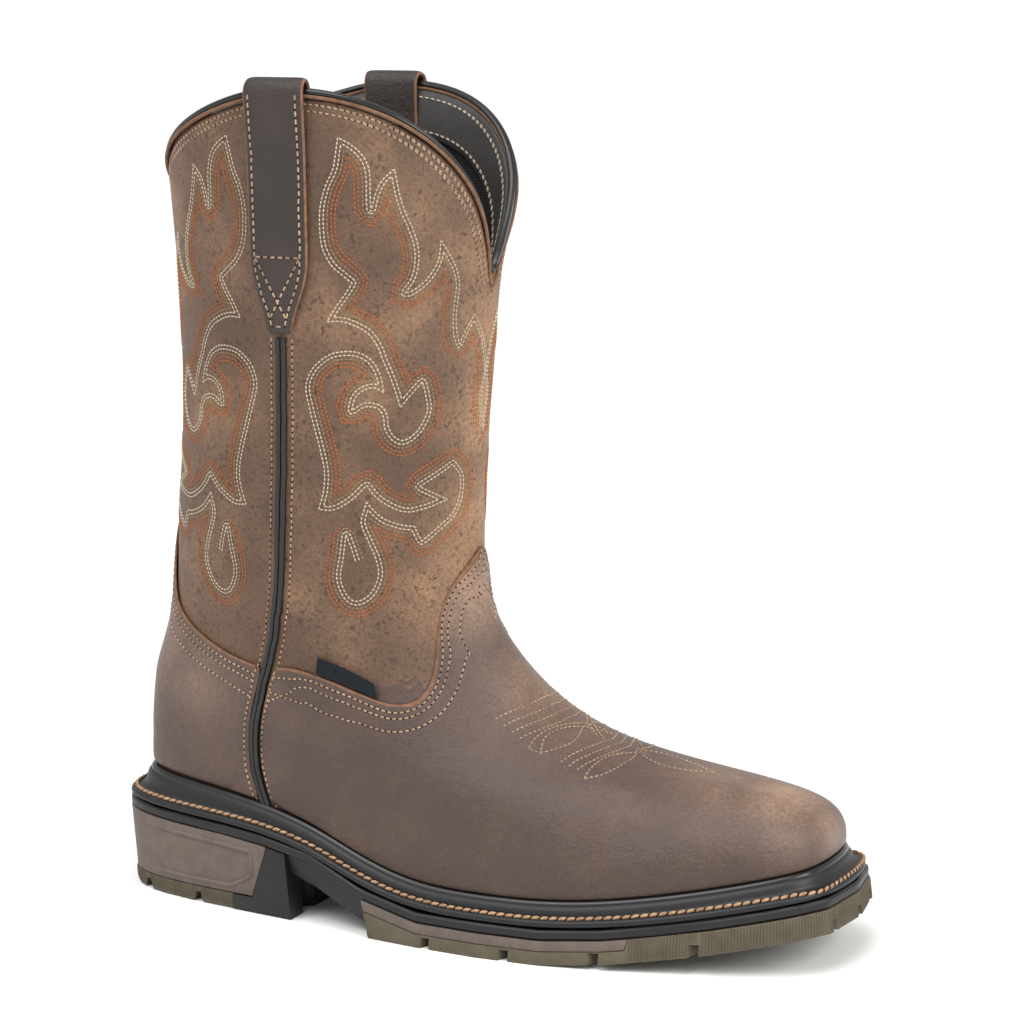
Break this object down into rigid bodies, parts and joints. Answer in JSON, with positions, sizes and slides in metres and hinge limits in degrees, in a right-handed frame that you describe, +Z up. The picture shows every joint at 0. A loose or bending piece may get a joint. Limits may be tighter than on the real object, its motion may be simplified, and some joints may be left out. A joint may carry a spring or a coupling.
{
  "type": "western work boot",
  "caption": "Pull-on western work boot for the right foot, with a scalloped shaft, pull straps, square toe, storm welt and lugged rubber sole.",
  "frame": {"origin": "on the ground under the middle of the heel", "axes": "+X forward to the toe, +Y to the wearer's inner (medial) side, +Z up; the boot stands on z = 0"},
  "size_m": [0.3189, 0.1146, 0.339],
  "materials": {
    "shaft_leather": "matte oiled leather, warm mid brown with darker specks",
    "vamp_leather": "matte oiled leather, dark greyish brown",
    "strap_leather": "matte oiled leather, very dark brown",
    "black_rubber": "matte black rubber",
    "olive_rubber": "matte olive grey rubber",
    "taupe_rubber": "matte taupe brown rubber",
    "black_trim": "smooth black leather, slight gloss",
    "insole_foam": "matte black fabric over foam",
    "tag_fabric": "plain black woven tag"
  },
  "bodies": {
    "root": {"upper": "shaft_leather", "vamp": "vamp_leather", "counter": "vamp_leather", "welt": "black_rubber", "midsole": "black_rubber", "insole": "insole_foam", "outsole": "olive_rubber", "side_insert_lateral": "taupe_rubber", "side_insert_medial": "taupe_rubber", "heel_plate": "taupe_rubber", "heel_lift": "olive_rubber", "heel_core": "black_rubber", "side_piping_lateral": "black_trim", "side_piping_medial": "black_trim", "collar_binding": "black_trim", "pull_strap_lateral": "strap_leather", "pull_strap_medial": "strap_leather", "side_tag": "tag_fabric"}
  },
  "joints": []
}
